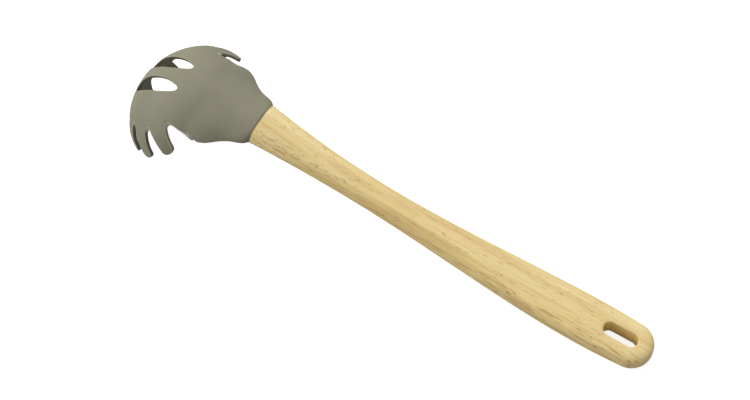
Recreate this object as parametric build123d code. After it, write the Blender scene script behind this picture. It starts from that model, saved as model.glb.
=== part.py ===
from build123d import *
import math
import os

# Pasta server in its resting pose, lengths in millimetres and angles in degrees.
# The object lies with its bowl turned down: the front tine and the grip end touch Z = 0,
# +X runs along the handle towards the grip end, +Y is the far side and +Z is up.
# The pieces are first made in the handle's frame, whose origin is the middle of the seam
# between head and handle, and are then laid down together by one placement.

# Handle, of turned and sanded wood
handle_length = 246.0
neck_width = 25.0
neck_thickness = 15.0
waist_width = 16.5
waist_thickness = 14.0
grip_width = 26.2
grip_thickness = 12.4
end_width = 24.4
handle_sag = 8.1
end_drop = 3.2
station_shares = (0.0, 0.06, 0.14, 0.30, 0.49, 0.67, 0.84)
waist_share = 0.30
grip_share = 0.84
neck_power_share = 0.85
waist_power_share = 0.78
grip_power_share = 0.46

# Hanging slot through the grip end
slot_length = 20.0
slot_width = 7.8
slot_from_end = 19.0
slot_lip = 0.7
slot_bevel = 45.0
bevel_spare = 0.4

# Bowl, the round part of the head, about a ball whose axis leans forward; shares are of its
# radius, and the ball's middle lies ahead of and below the seam
ball_radius = 44.0
ball_ahead_share = 0.832
ball_below_share = 0.8955
tine_radius_share = 0.636
bowl_lean = 47.0
wall = 2.5
skin = 0.7
root_angle = 47.0
tine_reach = 17.5
ball_ahead = ball_ahead_share * ball_radius
ball_below = ball_below_share * ball_radius
tine_radius = tine_radius_share * ball_radius

# Tines: angles from the front one round the bowl's axis; and the gaps between them, from the
# front one back: where each root begins, the width of the round root and how far it opens
tine_angles = (0.0, 33.5, 60.0, 86.0, 113.0)
gap_root_shares = (0.614, 0.636, 0.673, 0.702)
gap_root_widths = (7.0, 5.0, 5.0, 5.0)
gap_openings = (50.0, 38.0, 46.0, 50.8)
tine_tip_round = 2.9

# Notch behind the last tine, and the straight side of the bowl behind it
notch_ahead_share = -0.461
notch_aside_share = 0.63
notch_width = 5.0
notch_lean = 6.0
side_flare = 8.5
notch_ahead = notch_ahead_share * ball_radius
notch_aside = notch_aside_share * ball_radius

# Drain slots beside the bowl's middle
drain_length_share = 1.0
drain_width_share = 0.205
drain_aside_share = 0.18
drain_end_share = 0.3
drain_end_round = 1.4
drain_length = drain_length_share * ball_radius
drain_width = drain_width_share * ball_radius
drain_aside = drain_aside_share * ball_radius

# Neck: its sections from inside the bowl's wall to the seam. The first two lie in the wall and
# follow the ball. Each has a distance before the seam, a width, a top, a bottom, the height of
# its side edge and the radius of that edge
start_share = 1.12
lap_share = 0.93
start_width_share = 0.955
lap_width_share = 1.1
crown_sink = 0.15
start_edge_drop = 6.3
lap_edge_drop = 8.0
start_bottom = -8.5
shoulder = 25.8
shoulder_width = 54.6
shoulder_top = 4.75
shoulder_bottom = -7.8
shoulder_edge = -5.4
edge_radius = 1.8
neck_mid = 12.5
mid_width = 38.0
mid_top = 6.2
mid_bottom = -7.5
mid_edge = -3.4
mid_edge_radius = 2.8
throat = 5.0
throat_width = 32.2
throat_top = 7.1
throat_bottom = -7.6
throat_edge = -1.4
throat_edge_radius = 5.2

# Tang of the core in its socket in the handle
tang_width = 12.0
tang_thickness = 6.0
tang_length = 42.0
tang_root = 16.0
tang_round = 1.5
glue_gap = 0.3
socket_spare = 1.2

overrun = 20.0
section_points = 32

# Steps and tolerances of the making
tilt_steps = 12
point_tolerance = 0.02
point_angle = 0.1
seam_tolerance = 0.002


def centre_height(x):
    """Height of the handle's centre line: a sagging arch from the seam to the lower grip end."""
    s = x / handle_length
    return -4 * handle_sag * s * (1 - s) - end_drop * s * s


def centre_slope(x):
    """Slope of the centre line in degrees, positive where it rises towards the grip end."""
    s = x / handle_length
    rise = (-4 * handle_sag * (1 - 2 * s) - 2 * end_drop * s) / handle_length
    return math.degrees(math.atan(rise))


def superellipse(half_width, half_height, power):
    """Points of a rounded section: an ellipse at a power of one, and squarer below that."""
    points = []
    for i in range(section_points):
        a = math.tau * i / section_points
        c = math.cos(a)
        s = math.sin(a)
        y = half_width * math.copysign(abs(c) ** power, c)
        z = half_height * math.copysign(abs(s) ** power, s)
        points.append((y, z))
    return points


def closed_face(plane, points):
    """Face inside a smooth closed curve through points of a plane."""
    corners = [plane.from_local_coords(Vector(*p)) for p in points]
    return Face(Wire([Edge.make_spline(corners, periodic=True)]))


def across(x, z, slope=0.0):
    """Plane across the length at x, with +Y along the first axis and up along the second."""
    tilt = math.radians(slope)
    along = Vector(math.cos(tilt), 0, math.sin(tilt))
    return Plane(origin=(x, 0, z), x_dir=(0, 1, 0), z_dir=along)


def swell(x, neck, waist, grip, end):
    """Width or thickness of the handle at x, from its values at the seam, waist, grip and end."""
    waist_x = waist_share * handle_length
    grip_x = grip_share * handle_length
    end_x = handle_length - end_width / 2
    if x < waist_x:
        return waist + (neck - waist) * (1 - x / waist_x) ** 2
    if x < grip_x:
        t = (x - waist_x) / (grip_x - waist_x)
        return waist + (grip - waist) * (3 * t * t - 2 * t ** 3)
    t = (x - grip_x) / (end_x - grip_x)
    return grip + (end - grip) * t * t


def lens(plane, width, top, bottom, edge, radius):
    """Section of the neck: rounded sides of the given edge radius, arched top and bottom."""
    points = []
    for i in range(section_points):
        a = math.tau * i / section_points
        s = math.sin(a)
        if s >= 0:
            z = edge + radius * s + (top - edge - radius) * s * s
        else:
            z = edge + radius * s - (edge - bottom - radius) * s * s
        points.append((width / 2 * math.cos(a), z))
    return closed_face(plane, points)


# Bowl frame: its +Z is the bowl's axis out of the dome, its +X points to the front tine
lean = math.radians(bowl_lean)
bowl_axis = Vector(-math.sin(lean), 0, math.cos(lean))
bowl_front = Vector(-math.cos(lean), 0, -math.sin(lean))
bowl_plane = Plane(origin=(-ball_ahead, 0, -ball_below), x_dir=bowl_front, z_dir=bowl_axis)


def ball(radius):
    """Ball about the bowl's middle, with the poles of its surface at its sides, off the dome."""
    return Plane(origin=bowl_plane.origin, x_dir=-bowl_axis, z_dir=(0, 1, 0)) * Sphere(radius)


def dome(inset, reach):
    """Round shell of the bowl, with a skirt for its tines, drawn in on all faces by the inset."""
    a = math.radians(root_angle)
    shift = ball_radius - tine_radius
    b = a + (reach - inset) / tine_radius
    outer = ball_radius - inset
    inner = ball_radius - wall + inset
    turn_x = shift * math.sin(a)
    turn_z = shift * math.cos(a)
    far = tine_radius - inset
    near = tine_radius - wall + inset
    m = (a + b) / 2

    def on_ball(r, angle):
        return (r * math.sin(angle), r * math.cos(angle))

    def on_tine(r, angle):
        return (turn_x + r * math.sin(angle), turn_z + r * math.cos(angle))

    outline = [
        Line(on_ball(inner, a), on_ball(outer, a)),
        ThreePointArc(on_ball(outer, a), on_tine(far, m), on_tine(far, b)),
        Line(on_tine(far, b), on_tine(near, b)),
        ThreePointArc(on_tine(near, b), on_tine(near, m), on_ball(inner, a)),
    ]
    skirt = revolve(Plane.XZ * make_face(Curve() + outline), Axis.Z, 360)
    rim = on_ball((ball_radius + overrun) / math.cos(a), a)
    cone = revolve(Plane.XZ * make_face(Polyline((0, 0), rim, (0, rim[1]), (0, 0))), Axis.Z, 360)
    return (ball(outer) - ball(inner)) & (bowl_plane * cone), bowl_plane * skirt


def prism(face):
    """A face of the bowl's plan, drawn out along the bowl's axis past the dome."""
    height = ball_radius + overrun
    return bowl_plane * extrude(face, amount=height)


def wedge(middle, angle, root_width, opening):
    """Plan of a gap: a round root about a point of its axis, and straight sides that open."""
    r = root_width / 2
    half = math.radians(opening / 2)
    reach = ball_radius + overrun
    back = -r * math.sin(half)
    side = r * math.cos(half)
    mouth = side + reach * math.tan(half)
    sides = Polyline((back, -side), (back + reach, -mouth), (back + reach, mouth), (back, side), (back, -side))
    shape = Location((middle, 0, 0)) * (make_face(sides) + Circle(r))
    return Location((0, 0, 0), (0, 0, angle)) * shape


def tine_gaps(inset):
    """Plans of the gaps between neighbouring tines, on both sides of the front one."""
    gaps = []
    pairs = zip(tine_angles, tine_angles[1:], gap_root_shares, gap_root_widths, gap_openings)
    for first, second, root_share, width, opening in pairs:
        middle = root_share * ball_radius + width / 2
        for side in (1, -1):
            angle = side * (first + second) / 2
            gaps.append(wedge(middle, angle, width + 2 * inset, opening))
    return gaps


def notches(inset):
    """Plans of the notch behind the last tine and of what the straight sides leave outside."""
    cuts = []
    r = notch_width / 2 + inset
    reach = ball_radius + overrun
    tine_side = math.radians(90 + notch_lean)
    side = math.radians(180 - side_flare)
    start = Vector(notch_ahead, notch_aside)
    a = Vector(math.cos(tine_side), math.sin(tine_side))
    b = Vector(math.cos(side), math.sin(side))
    out_a = Vector(math.sin(tine_side), -math.cos(tine_side)) * r
    out_b = Vector(-math.sin(side), math.cos(side)) * r
    corners = [start + out_a, start + out_a + a * reach, start + b * reach + a * reach]
    corners += [start + out_b + b * reach, start + out_b, start, start + out_a]
    shape = make_face(Polyline(*[(c.X, c.Y) for c in corners]))
    shape += Location((notch_ahead, notch_aside, 0)) * Circle(r)
    cuts.append(shape)
    cuts.append(mirror(shape, Plane.XZ))
    return cuts


def drains(inset):
    """Plans of the two leaf-shaped drain slots."""
    cuts = []
    half = drain_length / 2 + inset
    deep = drain_width / 2 + inset
    end = half * drain_end_share
    for side in (1, -1):
        upper = Spline((-half, 0), (0, deep), (half, 0), tangents=[(end, deep), (end, -deep)])
        lower = Spline((half, 0), (0, -deep), (-half, 0), tangents=[(-end, -deep), (-end, deep)])
        leaf = make_face(Curve() + [upper, lower])
        leaf = fillet(leaf.vertices(), drain_end_round + inset)
        cuts.append(Location((0, side * drain_aside, 0)) * leaf)
    return cuts


def neck(inset):
    """Neck from inside the dome's wall to the seam, drawn in on all faces by the inset."""
    crown = ball_radius - ball_below - crown_sink
    wide = start_width_share * ball_radius
    lap_wide = lap_width_share * ball_radius
    start_edge = crown - start_edge_drop
    lap_edge = crown - lap_edge_drop
    half_seam = neck_thickness / 2
    rows = (
        (start_share * ball_ahead, wide, crown, start_bottom, start_edge, edge_radius),
        (lap_share * ball_ahead, lap_wide, crown, start_bottom, lap_edge, edge_radius),
        (shoulder, shoulder_width, shoulder_top, shoulder_bottom, shoulder_edge, edge_radius),
        (neck_mid, mid_width, mid_top, mid_bottom, mid_edge, mid_edge_radius),
        (throat, throat_width, throat_top, throat_bottom, throat_edge, throat_edge_radius),
        (0.0, neck_width, half_seam, -half_seam, 0.0, half_seam),
    )
    faces = []
    for before, width, top, bottom, edge, radius in rows:
        faces.append(
            lens(across(-before, 0), width - 2 * inset, top - inset, bottom + inset, edge, radius - inset)
        )
    return loft(faces)


def tip_corners(solid):
    """Short edges at the tines' tips, one at each side of each tip."""
    end = math.radians(root_angle) + tine_reach / tine_radius
    rise = (ball_radius - tine_radius) * math.cos(math.radians(root_angle))
    low = rise + (tine_radius - wall) * math.cos(end)
    high = rise + tine_radius * math.cos(end)
    rearmost = tine_angles[-1] + (tine_angles[-1] - tine_angles[-2]) / 2
    picked = []
    for edge in solid.edges():
        place = bowl_plane.to_local_coords(edge.center())
        angle = abs(math.degrees(math.atan2(place.Y, place.X)))
        at_tip = low - wall / 2 < place.Z < high + wall / 2 and angle < rearmost
        if at_tip and abs(edge.length - wall) < wall / 4:
            picked.append(edge)
    return picked


def head_body(inset, rounded):
    """The whole head without its tang: dome, neck, gaps, notches and drain slots. Its tines have
    rounded tips, or else stop short of where the rounding begins."""
    reach = tine_reach if rounded else tine_reach - tine_tip_round
    cap, skirt = dome(inset, reach)
    bowl = cap + skirt
    for cut in tine_gaps(inset) + notches(inset):
        bowl = bowl - prism(cut)
    if rounded:
        bowl = fillet(tip_corners(bowl), tine_tip_round)
    solid = bowl + (neck(inset) - ball(ball_radius - wall + inset))
    for cut in notches(inset) + drains(inset):
        solid = solid - prism(cut)
    return solid


def bar(width, thickness, length, rounding):
    """Straight bar along the handle's first stretch, from inside the neck to its length."""
    face = across(0, 0, centre_slope(0)) * RectangleRounded(width, thickness, rounding)
    return extrude(face, amount=length) + extrude(face, amount=-tang_root)


def beyond_seam(solid):
    """The part of a solid on the handle's side of the seam."""
    side = 2 * handle_length
    block = Location((side / 2, 0, 0)) * Box(side, side, side)
    return solid & block


def make_socket():
    """Blind socket in the handle, larger than the tang by the glue's thickness."""
    width = tang_width + 2 * glue_gap
    thickness = tang_thickness + 2 * glue_gap
    return beyond_seam(bar(width, thickness, tang_length + socket_spare, tang_round + glue_gap))


def make_tang():
    """Flat tang that runs from the head's core into the handle."""
    return bar(tang_width, tang_thickness, tang_length, tang_round)


def hanging_slot():
    """Cutter for the hanging slot, straight through the grip with a bevel at both mouths."""
    x = handle_length - slot_from_end
    middle = across(x, centre_height(x), centre_slope(x))
    level = Plane(origin=middle.origin, x_dir=middle.z_dir, z_dir=middle.y_dir)
    cutter = extrude(level * SlotOverall(slot_length, slot_width), amount=grip_thickness, both=True)
    deep = slot_lip + bevel_spare
    high = grip_thickness / 2 + bevel_spare
    for side in (1, -1):
        mouth = Plane(
            origin=middle.origin + middle.y_dir * (side * high),
            x_dir=middle.z_dir,
            z_dir=middle.y_dir * -side,
        )
        rim = mouth * SlotOverall(slot_length + 2 * deep, slot_width + 2 * deep)
        cutter += extrude(rim, amount=deep, taper=slot_bevel)
    return cutter


def make_handle():
    """Wooden handle with a round end, its hanging slot and the blind socket for the tang."""
    end_x = handle_length - end_width / 2
    faces = []
    for x in [s * handle_length for s in station_shares] + [end_x]:
        width = swell(x, neck_width, waist_width, grip_width, end_width)
        thickness = swell(x, neck_thickness, waist_thickness, grip_thickness, grip_thickness)
        power = swell(x, neck_power_share, waist_power_share, grip_power_share, grip_power_share)
        slope = 0 if x == 0 else centre_slope(x)
        plane = across(x, centre_height(x), slope)
        faces.append(closed_face(plane, superellipse(width / 2, thickness / 2, power)))
    body = loft(faces)

    end_plane = across(end_x, centre_height(end_x), centre_slope(end_x))
    end_face = body.faces().sort_by(Axis.X)[-1]
    half = split(end_face, Plane.XZ, keep=Keep.BOTTOM)
    cap = revolve(half, Axis(end_plane.origin, end_plane.y_dir), -180)
    body = body.solid().fuse(cap.solid(), tol=seam_tolerance)

    return body - hanging_slot() - make_socket()


def surface_points(shape):
    """Points over a shape's faces, close together where they bend."""
    points, _ = shape.tessellate(point_tolerance, point_angle)
    return [(p.X, p.Z) for p in points]


def lowest(points, tilt):
    """Height of the lowest of the points when they are turned about +Y by the tilt."""
    down = math.sin(math.radians(tilt))
    up = math.cos(math.radians(tilt))
    return min(z * up - x * down for x, z in points)


def resting_tilt(head, handle):
    """Tilt at which the front tine and the grip end touch the same level."""
    head_points = surface_points(head)
    handle_points = surface_points(handle)
    tilt = 0.0
    for _ in range(tilt_steps):
        drop = lowest(handle_points, tilt) - lowest(head_points, tilt)
        tilt += math.degrees(math.atan2(drop, handle_length + ball_ahead + ball_radius))
    return tilt


def main():
    os.makedirs("parts", exist_ok=True)
    core = head_body(skin, False) + make_tang()
    head_skin = head_body(0, True) - core
    handle = make_handle()
    tang_glue = make_socket() - make_tang()

    tilt = resting_tilt(head_skin, handle)
    print("resting tilt", round(tilt, 3))
    turned = Location((0, 0, 0), (0, tilt, 0))
    box = Compound([turned * head_skin, turned * handle]).bounding_box()
    middle = box.center()
    placed = Location((-middle.X, -middle.Y, -box.min.Z)) * turned
    print("seam at", placed.position, "size", box.size)
    nodes = {"head_skin": head_skin, "head_core": core, "handle": handle, "tang_glue": tang_glue}
    for name, solid in nodes.items():
        export_step(placed * solid, "parts/" + name + ".step")


if __name__ == "__main__":
    main()
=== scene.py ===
import math

import bmesh
import bpy
import numpy as np
from mathutils import Matrix, Vector


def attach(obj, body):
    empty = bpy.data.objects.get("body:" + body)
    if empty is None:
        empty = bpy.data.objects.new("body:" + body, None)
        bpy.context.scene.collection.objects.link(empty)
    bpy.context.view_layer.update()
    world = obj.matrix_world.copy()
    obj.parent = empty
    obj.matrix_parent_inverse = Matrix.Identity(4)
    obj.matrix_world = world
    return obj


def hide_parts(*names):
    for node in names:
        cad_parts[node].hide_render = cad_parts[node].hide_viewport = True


# Pasta server lying on its front prong and its grip end, in metres in the part's own frame:
# +X runs along the handle to the grip end, +Y is the far side, +Z is up.

MM = 0.001

# Handle's frame: the middle of the seam between head and handle, and its tilt in the resting pose
SEAM_AT = np.array((-78.2691, 0.0, 46.4917)) * MM
TILT = math.radians(8.770)

# Handle, as in the part's source
HANDLE_LENGTH = 246.0 * MM
NECK_WIDTH, NECK_THICKNESS = 25.0 * MM, 15.0 * MM
WAIST_WIDTH, WAIST_THICKNESS = 16.5 * MM, 14.0 * MM
GRIP_WIDTH, GRIP_THICKNESS = 26.2 * MM, 12.4 * MM
END_WIDTH = 24.4 * MM
WAIST_SHARE, GRIP_SHARE = 0.30, 0.84
SAG, END_DROP = 8.1 * MM, 3.2 * MM
NECK_POWER, WAIST_POWER, GRIP_POWER = 0.85, 0.78, 0.46
SEAM_ROUND = 0.5 * MM
HANDLE_AROUND, SEAM_RINGS, HANDLE_RINGS, END_RINGS = 144, 7, 150, 40

# Hanging slot: its lip turns by this much, and its cutter then runs straight on
SLOT_LENGTH, SLOT_WIDTH = 20.0 * MM, 7.8 * MM
SLOT_FROM_END = 19.0 * MM
SLOT_LIP = 0.7 * MM
SLOT_LIP_TURN = math.radians(66)
SLOT_RUN_ON = 1.5 * MM
SLOT_AROUND, LIP_RINGS = 96, 9

# Edges of the handle that turn by more than this stay crisp
CRISP_ANGLE = math.radians(50)

# Points nearer to each other than this are one
MERGE_WITHIN = 0.002 * MM

# The core's tang is cut off this far before the seam, so that no face lies on a face there
TANG_CUT_BEFORE = 0.01 * MM

# Moulded head: size of the cells its skin is rebuilt from, and the easing that rounds its edges;
# of the eased mesh's triangles, this share is kept
SKIN_CELL = 0.3 * MM
SKIN_EASE_STEPS = 26
SKIN_KEPT_SHARE = 0.38
EASE_FACTOR = 0.5

# Stretch over the neck's root where the dome flows into it: its ends before the seam, how far in
# from the sides it stops, how far up a face has to look, and the easing there
FLOW_FROM, FLOW_TO, FLOW_FADE = 50.0 * MM, 14.0 * MM, 6.0 * MM
FLOW_HALF_WIDTH, FLOW_FLOOR = 22.0 * MM, -9.0 * MM
FLOW_UPWARD = (0.2, 0.5)
FLOW_STEPS = 240
WEIGHT_LEVELS = 10

# Corners where the bowl's rim runs into the neck, eased too: how far before, aside of and above
# the seam's middle they lie, and how far from there the easing is full and ends
CORNER_BEFORE, CORNER_ASIDE, CORNER_ABOVE = 29.0 * MM, 25.0 * MM, -8.5 * MM
CORNER_FULL, CORNER_END = 4.0 * MM, 10.0 * MM

# Bowl: how far its middle lies before and below the seam
BALL_BEFORE, BALL_BELOW = 36.6 * MM, 39.4 * MM

# How squarely a face looks away from the bowl's middle, which sets where shade and a highlight line are
# painted: ranges over which it turns from a cut edge to the outer side, from a cut edge to the inside,
# and across a rim's inner and outer border
OUTER_FACING, INSIDE_FACING = (0.25, 0.75), (0.4, 0.8)
RIM_INNER_FACING, RIM_OUTER_FACING = (0.25, 0.50), (0.82, 0.96)

# Stretches before the seam over which the painted shade gives way to the neck's plain tone and the
# painted highlight line along the rims ends
NECK_TONE_FROM, NECK_TONE_TO = 24.0 * MM, 12.0 * MM
RIM_FROM, RIM_TO = 34.0 * MM, 26.0 * MM

# How much of the painted shade on the cut edges is missing inside the bowl
INSIDE_SHARE = 0.6

# Camera, found from the photograph: where it stands, which way it looks and how it is turned
CAMERA_AT = np.array((287.61, -374.39, 901.85)) * MM
CAMERA_AZIMUTH = math.radians(38.139)
CAMERA_ELEVATION = math.radians(61.532)
CAMERA_ROLL = math.radians(-7.622)
CAMERA_LENS, CAMERA_SENSOR = 87.35, 36.0
CAMERA_NEAREST = 0.05

# Studio: half the floor's side, its grey and its glow to the camera, and the world's light
FLOOR_HALF, FLOOR_GREY, FLOOR_GLOW = 3.0, 0.5, 0.80
WORLD_LIGHT = 0.44

# Soft boxes: direction from the object, distance, side and power
LEFT_KEY = ((-0.82, -0.39, 0.41), 1.3, 0.9, 8.8)
REAR_LAMP = ((-0.30, 0.62, 0.72), 1.5, 1.0, 12.8)

WHITE, BLACK = (1, 1, 1, 1), (0, 0, 0, 1)

# Colour sockets of a Mix node, by number, because its float sockets have the same names
MIX_UNDER, MIX_OVER, MIX_RESULT = 6, 7, 2


def to_object(points):
    """Points of the handle's frame, turned about +Y by the tilt and moved to the seam."""
    c, s = math.cos(TILT), math.sin(TILT)
    x, y, z = points[..., 0], points[..., 1], points[..., 2]
    return np.stack([x * c + z * s, y, -x * s + z * c], -1) + SEAM_AT


def finish_mesh(mesh):
    """Merges doubled points, turns the faces outwards and shades them smooth."""
    work = bmesh.new()
    work.from_mesh(mesh)
    bmesh.ops.remove_doubles(work, verts=work.verts, dist=MERGE_WITHIN)
    bmesh.ops.recalc_face_normals(work, faces=work.faces)
    for face in work.faces:
        face.smooth = True
    work.to_mesh(mesh)
    work.free()


def new_object(name, data):
    """An object at the origin that holds a mesh, a lamp or a camera."""
    made = bpy.data.objects.new(name, data)
    bpy.context.scene.collection.objects.link(made)
    return made


def tube_faces(rings, around):
    """Faces of a tube of rings, each ring closed on itself, with a face over each end."""
    i, j = np.meshgrid(np.arange(rings - 1), np.arange(around), indexing="ij")
    k = (j + 1) % around
    corners = [i * around + j, i * around + k, (i + 1) * around + k, (i + 1) * around + j]
    faces = np.stack(corners, -1).reshape(-1, 4).tolist()
    faces.append(list(range(around - 1, -1, -1)))
    faces.append(list(range((rings - 1) * around, rings * around)))
    return faces


def tube(name, surface, material):
    """A closed piece from a surface's points, its number of rings and the points around each."""
    points, rings, around = surface
    mesh = bpy.data.meshes.new(name)
    mesh.from_pydata(to_object(points).reshape(-1, 3).tolist(), [], tube_faces(rings, around))
    finish_mesh(mesh)
    mesh.materials.append(material)
    return new_object(name, mesh)


def applied(piece):
    """The piece's mesh with its modifiers worked in, and the modifiers removed."""
    bpy.context.view_layer.update()
    graph = bpy.context.evaluated_depsgraph_get()
    mesh = bpy.data.meshes.new_from_object(piece.evaluated_get(graph), depsgraph=graph)
    piece.modifiers.clear()
    piece.data = mesh
    return mesh


def centre_height(x):
    """Height of the centre line: a sagging parabola, less a drop that grows with x squared."""
    s = x / HANDLE_LENGTH
    return -4 * SAG * s * (1 - s) - END_DROP * s * s


def centre_slope(x):
    """Angle of the centre line: the arctangent of the height's rate of change."""
    s = x / HANDLE_LENGTH
    return np.arctan((-4 * SAG * (1 - 2 * s) - 2 * END_DROP * s) / HANDLE_LENGTH)


def swell(x, neck, waist, grip, end):
    """A size along the handle: a parabola from neck to waist, a smooth step on to the grip, and
    a second parabola to the end."""
    waist_x, grip_x = WAIST_SHARE * HANDLE_LENGTH, GRIP_SHARE * HANDLE_LENGTH
    end_x = HANDLE_LENGTH - END_WIDTH / 2
    t = np.clip((x - waist_x) / (grip_x - waist_x), 0, 1)
    first = waist + (neck - waist) * np.clip(1 - x / waist_x, 0, 1) ** 2
    middle = waist + (grip - waist) * (3 * t ** 2 - 2 * t ** 3)
    last = grip + (end - grip) * np.clip((x - grip_x) / (end_x - grip_x), 0, 1) ** 2
    return np.where(x < waist_x, first, np.where(x < grip_x, middle, last))


def handle_surface():
    """Rings across the handle. Each is a superellipse whose half width and half height follow
    the centre line; over the round end, the half section is turned about an upright axis, so a
    ring there is that turned body's section at its distance past the axis."""
    end_x = HANDLE_LENGTH - END_WIDTH / 2
    angle = math.tau * np.arange(HANDLE_AROUND) / HANDLE_AROUND
    rim = np.linspace(0, math.pi / 2, SEAM_RINGS)
    spread = np.linspace(0, 1, HANDLE_RINGS)[1:] * end_x
    along = np.unique(np.round(np.concatenate([SEAM_ROUND * (1 - np.cos(rim)), spread]), 9))
    turn = np.linspace(0, math.pi / 2, END_RINGS)[1:-1]
    x = np.concatenate([along, np.full(len(turn), end_x)])
    past = np.concatenate([np.zeros(len(along)), END_WIDTH / 2 * np.sin(turn)])[:, None]
    half_width = swell(x, NECK_WIDTH, WAIST_WIDTH, GRIP_WIDTH, END_WIDTH) / 2
    half_height = swell(x, NECK_THICKNESS, WAIST_THICKNESS, GRIP_THICKNESS, GRIP_THICKNESS) / 2
    power = swell(x, NECK_POWER, WAIST_POWER, GRIP_POWER, GRIP_POWER)[:, None]
    drawn_in = SEAM_ROUND - np.sqrt(np.clip(SEAM_ROUND ** 2 - (SEAM_ROUND - x) ** 2, 0, None))
    drawn_in = np.where(x < SEAM_ROUND, drawn_in, 0)
    a = (half_width - drawn_in)[:, None]
    b = (half_height - drawn_in)[:, None]
    reach = np.sqrt(past ** 2 + (a ** 2 - past ** 2) * np.cos(angle) ** 2)
    y = np.sqrt(np.clip(a ** 2 - past ** 2, 0, None)) * np.cos(angle)
    z = b * np.clip(1 - (reach / a) ** (2 / power), 0, 1) ** (power / 2) * np.sign(np.sin(angle))
    slope = np.where(x < SEAM_ROUND, 0, centre_slope(x))[:, None]
    ahead = past * np.cos(slope) - z * np.sin(slope)
    up = past * np.sin(slope) + z * np.cos(slope)
    points = np.stack([x[:, None] + ahead, y, centre_height(x)[:, None] + up], -1)
    return points, len(x), HANDLE_AROUND


def slot_surface():
    """Cutter for the hanging slot: a stadium outline at each level, which is widened near both
    faces of the grip by a quarter-round lip and runs straight on outwards past them."""
    turn = np.linspace(0, SLOT_LIP_TURN, LIP_RINGS)
    level = GRIP_THICKNESS / 2 - SLOT_LIP + SLOT_LIP * np.sin(turn)
    wider = SLOT_LIP * (1 - np.cos(turn))
    level = np.append(level, level[-1] + SLOT_RUN_ON * math.cos(SLOT_LIP_TURN))
    wider = np.append(wider, wider[-1] + SLOT_RUN_ON * math.sin(SLOT_LIP_TURN))
    level = np.concatenate([-level[::-1], level])[:, None]
    wider = np.concatenate([wider[::-1], wider])[:, None]
    angle = math.tau * (np.arange(SLOT_AROUND) + 0.5) / SLOT_AROUND
    radius = SLOT_WIDTH / 2 + wider
    shift = (SLOT_LENGTH - SLOT_WIDTH) / 2 * np.sign(np.cos(angle))
    along = shift + radius * np.cos(angle)
    across = radius * np.sin(angle)
    x = HANDLE_LENGTH - SLOT_FROM_END
    slope = float(centre_slope(np.array(x)))
    up = level + 0 * along
    points = np.stack([
        x + along * math.cos(slope) - up * math.sin(slope),
        across,
        float(centre_height(np.array(x))) + along * math.sin(slope) + up * math.cos(slope),
    ], -1)
    return points, len(level), SLOT_AROUND


def make_handle(material):
    """The wooden handle, with its slot cut through and the lip's edge left crisp."""
    handle = tube("wooden_handle", handle_surface(), material)
    cutter = tube("slot_cutter", slot_surface(), material)
    cut = handle.modifiers.new("slot", "BOOLEAN")
    cut.operation = "DIFFERENCE"
    cut.solver = "EXACT"
    cut.object = cutter
    mesh = applied(handle)
    bpy.data.objects.remove(cutter)
    mesh.shade_smooth()
    mesh.set_sharp_from_angle(angle=CRISP_ANGLE)
    return handle


def rise(value, low, high):
    """Smooth step from zero at low to one at high."""
    t = np.clip((value - low) / (high - low), 0, 1)
    return t * t * (3 - 2 * t)


def drop(value, low, high):
    """Smooth step from one at low to zero at high."""
    return rise(-value, -high, -low)


def handle_frame(piece):
    """Places and normals of a piece's points in the handle's frame: the tilt undone."""
    c, s = math.cos(TILT), math.sin(TILT)
    back = np.array(((c, 0, -s), (0, 1, 0), (s, 0, c)))
    pair = []
    for name in ("co", "normal"):
        flat = np.empty(len(piece.data.vertices) * 3, np.float32)
        piece.data.vertices.foreach_get(name, flat)
        pair.append(flat.reshape(-1, 3).astype(float))
    return (pair[0] - SEAM_AT) @ back.T, pair[1] @ back.T


def share_of_flow(head):
    """Weights the outer surface over the neck's root, fading to nothing at all its borders, and
    a ball about each of the rim's rear corners."""
    at, turned = handle_frame(head)
    before, aside, above = -at[:, 0], np.abs(at[:, 1]), at[:, 2]
    weight = rise(before, FLOW_TO - FLOW_FADE, FLOW_TO)
    weight *= drop(before, FLOW_FROM, FLOW_FROM + FLOW_FADE)
    weight *= drop(aside, FLOW_HALF_WIDTH, FLOW_HALF_WIDTH + FLOW_FADE)
    weight *= rise(turned[:, 2], *FLOW_UPWARD) * (above > FLOW_FLOOR)
    off = np.stack([before - CORNER_BEFORE, aside - CORNER_ASIDE, above - CORNER_ABOVE])
    corner = drop(np.linalg.norm(off, axis=0), CORNER_FULL, CORNER_END)
    nearest_level = np.round(np.maximum(weight, corner) * WEIGHT_LEVELS)
    group = head.vertex_groups.new(name="flow")
    for level in range(1, WEIGHT_LEVELS + 1):
        members = np.nonzero(nearest_level == level)[0].tolist()
        group.add(members, level / WEIGHT_LEVELS, "REPLACE")


def mark_sides(head):
    """Two point attributes from how far the surface faces away from the bowl's middle. The first
    is painted shade: one on cut edges, a share of that inside the bowl, and zero on its outer side
    and on the neck; the second is a painted highlight: one along the bowl's outer edges only, where the
    surface turns over."""
    at, turned = handle_frame(head)
    before = -at[:, 0]
    ray = at - np.array((-BALL_BEFORE, 0, -BALL_BELOW))
    ray /= np.linalg.norm(ray, axis=1, keepdims=True)
    facing = (turned * ray).sum(axis=1)
    on_neck = drop(before, NECK_TONE_TO, NECK_TONE_FROM)
    outward = np.maximum(rise(facing, *OUTER_FACING), on_neck)
    # Painted shade on cut edges and, less, inside the bowl
    dark = (1 - outward) * (1 - INSIDE_SHARE * rise(-facing, *INSIDE_FACING))
    # Painted highlight along the bowl's outer rims
    rim = rise(facing, *RIM_INNER_FACING) * drop(facing, *RIM_OUTER_FACING)
    rim *= rise(before, RIM_TO, RIM_FROM)
    for name, values in (("dark", dark), ("rim", rim)):
        mark = head.data.attributes.new(name, "FLOAT", "POINT")
        mark.data.foreach_set("value", values.astype(np.float32))


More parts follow.
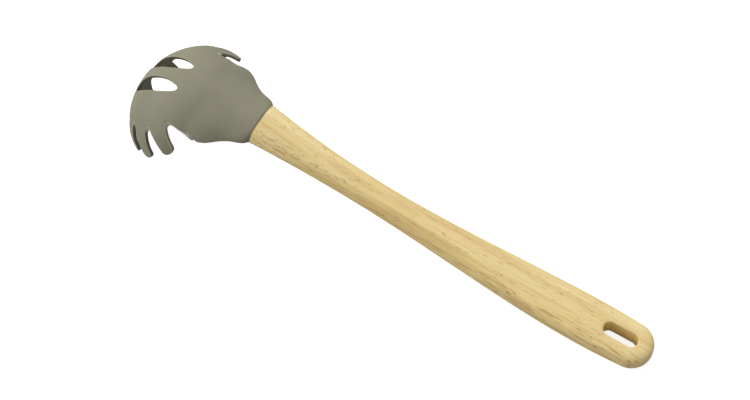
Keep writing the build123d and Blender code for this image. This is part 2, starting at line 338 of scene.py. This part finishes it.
def moulded_body(name):
    """One mesh that holds copies of the CAD skin and of the core, which is merged, cut off just
    behind the seam and closed there, so that together they bound the whole head."""
    seam = Vector(SEAM_AT)
    ahead = Vector((math.cos(TILT), 0, -math.sin(TILT)))
    work = bmesh.new()
    work.from_mesh(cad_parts["head_core"].data)
    bmesh.ops.remove_doubles(work, verts=work.verts, dist=MERGE_WITHIN)
    everything = work.verts[:] + work.edges[:] + work.faces[:]
    cut = bmesh.ops.bisect_plane(
        work, geom=everything, plane_co=seam - ahead * TANG_CUT_BEFORE, plane_no=ahead, clear_outer=True
    )
    loop = [edge for edge in cut["geom_cut"] if isinstance(edge, bmesh.types.BMEdge)]
    bmesh.ops.contextual_create(work, geom=loop)
    work.from_mesh(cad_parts["head_skin"].data)
    mesh = bpy.data.meshes.new(name)
    work.to_mesh(mesh)
    work.free()
    return mesh


def ease(piece, name, steps):
    """A smoothing modifier of so many steps."""
    smooth = piece.modifiers.new(name, "SMOOTH")
    smooth.factor = EASE_FACTOR
    smooth.iterations = steps
    return smooth


def make_head(material):
    """The moulded head: skin and core become one closed surface of small cells, and easing it
    rounds every moulded edge. The neck's root and the rear corners are eased once more."""
    head = new_object("silicone_head", moulded_body("silicone_head"))
    rebuild = head.modifiers.new("cells", "REMESH")
    rebuild.mode = "VOXEL"
    rebuild.voxel_size = SKIN_CELL
    ease(head, "edges", SKIN_EASE_STEPS)
    applied(head)
    share_of_flow(head)
    ease(head, "flow", FLOW_STEPS).vertex_group = "flow"
    thin = head.modifiers.new("thin", "DECIMATE")
    thin.ratio = SKIN_KEPT_SHARE
    mesh = applied(head)
    head.vertex_groups.clear()
    mark_sides(head)
    mesh.shade_smooth()
    mesh.materials.clear()
    mesh.materials.append(material)
    return head


def colour(code):
    """Linear colour with full alpha from an sRGB hex code."""
    parts = [int(code[i:i + 2], 16) / 255 for i in (1, 3, 5)]
    line = [c / 12.92 if c <= 0.04045 else ((c + 0.055) / 1.055) ** 2.4 for c in parts]
    return (*line, 1.0)


def add_node(tree, kind, settings=None, links=None):
    """A node of the given kind. Settings are keyed by property, or by an input's name or number;
    links feed an input, by name or number, from another node's output."""
    node = tree.nodes.new(kind)
    for key, value in (settings or {}).items():
        if isinstance(key, int) or key in node.inputs:
            node.inputs[key].default_value = value
        else:
            setattr(node, key, value)
    for key, source in (links or {}).items():
        tree.links.new(source, node.inputs[key])
    return node


def new_material(name):
    """An empty material with its output node."""
    material = bpy.data.materials.new(name)
    material.use_nodes = True
    material.node_tree.nodes.clear()
    return material, material.node_tree, material.node_tree.nodes.new("ShaderNodeOutputMaterial")


def ramp(tree, source, stops):
    """A colour ramp through (position, colour) stops."""
    node = add_node(tree, "ShaderNodeValToRGB", None, {"Fac": source})
    while len(node.color_ramp.elements) < len(stops):
        node.color_ramp.elements.new(1.0)
    for element, (position, shade) in zip(node.color_ramp.elements, stops):
        element.position = position
        element.color = shade
    return node.outputs["Color"]


def blend(tree, share, under, over):
    """Colour of one socket, turned to a fixed colour by the share."""
    settings = {"data_type": "RGBA", MIX_OVER: over}
    node = add_node(tree, "ShaderNodeMix", settings, {0: share, MIX_UNDER: under})
    return node.outputs[MIX_RESULT]


def times(tree, value, factor):
    """A value multiplied by a number or by another socket."""
    if isinstance(factor, float):
        node = add_node(tree, "ShaderNodeMath", {"operation": "MULTIPLY", 1: factor}, {0: value})
    else:
        node = add_node(tree, "ShaderNodeMath", {"operation": "MULTIPLY"}, {0: value, 1: factor})
    return node.outputs["Value"]


def per_metre(size_mm):
    """Noise scale whose features are about this many millimetres across."""
    return 1 / (size_mm * MM)


def silicone():
    """Warm grey silicone rubber, moulded: satin, with the mould's fine blast texture, a faint
    cloudiness of the pigment, painted shade on cut edges and inside the bowl, and a painted highlight
    line along the outer edges."""
    material, tree, out = new_material("moulded_silicone")
    where = add_node(tree, "ShaderNodeTexCoord").outputs["Object"]
    cloud = add_node(tree, "ShaderNodeTexNoise", {"Scale": per_metre(22), "Detail": 3.0},
                     {"Vector": where}).outputs["Fac"]
    tone = ramp(tree, cloud, [(0.35, colour("#82806b")), (0.65, colour("#898772"))])
    # Painted shade: cut edges, and less so the inside of the bowl, are darkened as if turned from the
    # light; the outer side keeps its plain tone
    dark = add_node(tree, "ShaderNodeAttribute", {"attribute_name": "dark"}).outputs["Fac"]
    tone = blend(tree, times(tree, dark, 0.8), tone, colour("#554e3e"))
    # Painted highlight: a pale line less than a millimetre wide along the outer edges, where they would
    # catch the light
    rim = add_node(tree, "ShaderNodeAttribute", {"attribute_name": "rim"}).outputs["Fac"]
    tone = blend(tree, times(tree, rim, 0.8), tone, colour("#bbb8a2"))
    # The blast texture is 0.25 mm in reality and is drawn at 0.8 mm, so that it shows at all
    grit = add_node(tree, "ShaderNodeTexNoise", {"Scale": per_metre(0.8), "Detail": 2.0},
                    {"Vector": where}).outputs["Fac"]
    bump = add_node(tree, "ShaderNodeBump", {"Strength": 0.12, "Distance": 0.05 * MM},
                    {"Height": grit}).outputs["Normal"]
    rough = add_node(tree, "ShaderNodeMapRange", {"To Min": 0.55, "To Max": 0.65},
                     {"Value": cloud}).outputs["Result"]
    shader = add_node(tree, "ShaderNodeBsdfPrincipled", {"IOR": 1.41, "Specular IOR Level": 0.3},
                      {"Base Color": tone, "Normal": bump, "Roughness": rough})
    tree.links.new(shader.outputs["BSDF"], out.inputs["Surface"])
    return material


def grain(tree, board, sizes_mm, settings):
    """Noise drawn out along the board, with features of the given sizes along it, across it and
    through its thickness."""
    scale = tuple(per_metre(size) for size in sizes_mm)
    drawn = add_node(tree, "ShaderNodeMapping", {"Scale": scale}, {"Vector": board})
    return add_node(tree, "ShaderNodeTexNoise", {"Scale": 1.0} | settings,
                    {"Vector": drawn.outputs["Vector"]}).outputs["Fac"]


def growth_tone(tree, board, line):
    """Straw yellow with soft bands of growth along the handle and finer grain lines."""
    band = grain(tree, board, (110, 5.5, 9), {"Detail": 4.0, "Distortion": 0.5})
    base = ramp(tree, band, [
        (0.32, colour("#dfbf7c")), (0.50, colour("#efd592")), (0.66, colour("#f5e0a3")),
    ])
    lines = ramp(tree, line, [(0.34, WHITE), (0.50, BLACK)])
    return blend(tree, times(tree, lines, 0.35), base, colour("#d6b375"))


def pores(tree, board):
    """Short dashes, in patches. Pores are 0.2 mm wide and 2 mm long in reality, and are drawn as
    coarse as they show here."""
    area = grain(tree, board, (38, 8, 8), {"Detail": 1.0})
    pore = grain(tree, board, (5, 0.55, 0.55), {"Detail": 1.5})
    patches = ramp(tree, area, [(0.38, BLACK), (0.60, WHITE)])
    return times(tree, ramp(tree, pore, [(0.28, WHITE), (0.38, BLACK)]), patches)


def rubberwood():
    """Rubberwood, turned and sanded, thinly oiled: straw yellow, with soft bands of growth along
    the handle, finer grain lines, and open pores that show as short brown dashes."""
    material, tree, out = new_material("sanded_rubberwood")
    where = add_node(tree, "ShaderNodeTexCoord").outputs["Object"]
    settings = {"vector_type": "TEXTURE", "Location": tuple(SEAM_AT), "Rotation": (0, TILT, 0)}
    board = add_node(tree, "ShaderNodeMapping", settings, {"Vector": where}).outputs["Vector"]
    place = add_node(tree, "ShaderNodeSeparateXYZ", None, {"Vector": board}).outputs
    line = grain(tree, board, (45, 1.3, 3), {"Detail": 3.0, "Roughness": 0.6})
    tone = growth_tone(tree, board, line)
    # Brown streaks of late wood, 10 to 20 mm long, lie along the near side of the grip
    side = add_node(tree, "ShaderNodeMapRange", {"From Min": -2 * MM, "From Max": -11 * MM},
                    {"Value": place["Y"]}).outputs["Result"]
    streak = grain(tree, board, (18, 0.9, 0.9), {"Detail": 2.0})
    streaks = times(tree, ramp(tree, streak, [(0.34, WHITE), (0.48, BLACK)]), side)
    tone = blend(tree, times(tree, streaks, 0.7), tone, colour("#b58848"))
    dashes = pores(tree, board)
    tone = blend(tree, times(tree, dashes, 0.85), tone, colour("#a0753d"))
    # Painted shade: the wood is darkened for less than a millimetre at the joint with the head, where
    # the seam's groove lies
    joint = add_node(tree, "ShaderNodeMapRange", {"From Min": 1.0 * MM, "From Max": 0.3 * MM},
                     {"Value": place["X"]}).outputs["Result"]
    tone = blend(tree, times(tree, joint, 0.7), tone, colour("#6f5733"))
    height = add_node(tree, "ShaderNodeMath", {"operation": "SUBTRACT"}, {0: line, 1: dashes})
    bump = add_node(tree, "ShaderNodeBump", {"Strength": 0.25, "Distance": 0.06 * MM},
                    {"Height": height.outputs["Value"]}).outputs["Normal"]
    rough = add_node(tree, "ShaderNodeMapRange", {"To Min": 0.42, "To Max": 0.55},
                     {"Value": line}).outputs["Result"]
    shader = add_node(tree, "ShaderNodeBsdfPrincipled", {"IOR": 1.5},
                      {"Base Color": tone, "Normal": bump, "Roughness": rough})
    tree.links.new(shader.outputs["BSDF"], out.inputs["Surface"])
    return material


def nylon():
    """Glass-filled nylon, injection moulded: dark grey, matte, faintly speckled by its fibres."""
    material, tree, out = new_material("glass_filled_nylon")
    where = add_node(tree, "ShaderNodeTexCoord").outputs["Object"]
    fleck = add_node(tree, "ShaderNodeTexNoise", {"Scale": per_metre(0.8), "Detail": 3.0},
                     {"Vector": where}).outputs["Fac"]
    tone = ramp(tree, fleck, [(0.4, colour("#4c4a46")), (0.7, colour("#5c5a55"))])
    shader = add_node(tree, "ShaderNodeBsdfPrincipled", {"IOR": 1.53, "Roughness": 0.6},
                      {"Base Color": tone})
    tree.links.new(shader.outputs["BSDF"], out.inputs["Surface"])
    return material


def epoxy():
    """Cured epoxy, squeezed out in its joint: amber, glossy, with a few fine bubbles."""
    material, tree, out = new_material("cured_epoxy")
    where = add_node(tree, "ShaderNodeTexCoord").outputs["Object"]
    bubbles = add_node(tree, "ShaderNodeTexVoronoi", {"Scale": per_metre(1.5)},
                       {"Vector": where}).outputs["Distance"]
    tone = ramp(tree, bubbles, [(0.1, colour("#efe2bd")), (0.5, colour("#d9c58e"))])
    shader = add_node(tree, "ShaderNodeBsdfPrincipled", {"IOR": 1.55, "Roughness": 0.2},
                      {"Base Color": tone})
    tree.links.new(shader.outputs["BSDF"], out.inputs["Surface"])
    return material


def make_floor():
    """Pale floor: it keeps a soft shadow, and to the camera it is almost white."""
    material, tree, out = new_material("pale_studio_floor")
    seen = add_node(tree, "ShaderNodeLightPath").outputs["Is Camera Ray"]
    grey = (FLOOR_GREY, FLOOR_GREY, FLOOR_GREY, 1)
    diffuse = add_node(tree, "ShaderNodeBsdfDiffuse", {"Color": grey})
    glow = add_node(tree, "ShaderNodeEmission", {"Color": WHITE},
                    {"Strength": times(tree, seen, FLOOR_GLOW)})
    both = add_node(tree, "ShaderNodeAddShader", None, {0: diffuse.outputs[0], 1: glow.outputs[0]})
    tree.links.new(both.outputs[0], out.inputs["Surface"])
    corners = [(-FLOOR_HALF, -FLOOR_HALF, 0), (FLOOR_HALF, -FLOOR_HALF, 0),
               (FLOOR_HALF, FLOOR_HALF, 0), (-FLOOR_HALF, FLOOR_HALF, 0)]
    mesh = bpy.data.meshes.new("studio_floor")
    mesh.from_pydata(corners, [], [(0, 1, 2, 3)])
    mesh.materials.append(material)
    new_object("studio_floor", mesh)


def make_world():
    """Even light from all round, and plain white to the camera."""
    world = bpy.data.worlds.new("studio")
    bpy.context.scene.world = world
    world.use_nodes = True
    tree = world.node_tree
    tree.nodes.clear()
    out = tree.nodes.new("ShaderNodeOutputWorld")
    seen = add_node(tree, "ShaderNodeLightPath").outputs["Is Camera Ray"]
    strength = add_node(tree, "ShaderNodeMapRange", {"To Min": WORLD_LIGHT, "To Max": 1.0},
                        {"Value": seen}).outputs["Result"]
    glow = add_node(tree, "ShaderNodeBackground", {"Color": WHITE}, {"Strength": strength})
    tree.links.new(glow.outputs["Background"], out.inputs["Surface"])


def make_lamp(name, direction, distance, size, power):
    """A square soft box at a distance in a direction from the object, facing it."""
    lamp = bpy.data.lights.new(name, "AREA")
    lamp.shape = "SQUARE"
    lamp.size = size
    lamp.energy = power
    away = Vector(direction).normalized()
    turn = away.to_track_quat("Z", "Y").to_matrix().to_4x4()
    new_object(name, lamp).matrix_world = Matrix.Translation(away * distance) @ turn


def make_camera():
    """The camera looks from its azimuth and elevation and is then rolled about its own axis."""
    data = bpy.data.cameras.new("camera")
    data.lens = CAMERA_LENS
    data.sensor_width = CAMERA_SENSOR
    data.sensor_fit = "HORIZONTAL"
    data.clip_start = CAMERA_NEAREST
    camera = new_object("camera", data)
    turn = Matrix.Rotation(CAMERA_AZIMUTH, 4, "Z")
    turn = turn @ Matrix.Rotation(math.pi / 2 - CAMERA_ELEVATION, 4, "X")
    turn = turn @ Matrix.Rotation(CAMERA_ROLL, 4, "Z")
    camera.matrix_world = Matrix.Translation(Vector(CAMERA_AT)) @ turn
    bpy.context.scene.camera = camera


# The scene

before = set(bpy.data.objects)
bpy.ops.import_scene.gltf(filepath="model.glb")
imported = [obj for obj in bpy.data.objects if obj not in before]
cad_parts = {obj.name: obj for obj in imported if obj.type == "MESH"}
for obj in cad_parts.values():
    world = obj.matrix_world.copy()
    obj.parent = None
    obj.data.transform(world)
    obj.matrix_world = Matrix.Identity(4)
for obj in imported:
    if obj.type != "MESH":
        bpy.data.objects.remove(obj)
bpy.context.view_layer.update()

wood = rubberwood()
skin = silicone()
finishes = {"handle": wood, "head_skin": skin, "head_core": nylon(), "tang_glue": epoxy()}
for node, material in finishes.items():
    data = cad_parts[node].data
    data.materials.clear()
    data.materials.append(material)

make_camera()
handle = make_handle(wood)
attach(handle, "root")
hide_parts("handle")
head = make_head(skin)
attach(head, "root")
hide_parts("head_skin")

make_floor()
make_world()
make_lamp("left_key", *LEFT_KEY)
make_lamp("rear_lamp", *REAR_LAMP)
bpy.context.scene.view_settings.view_transform = "Standard"
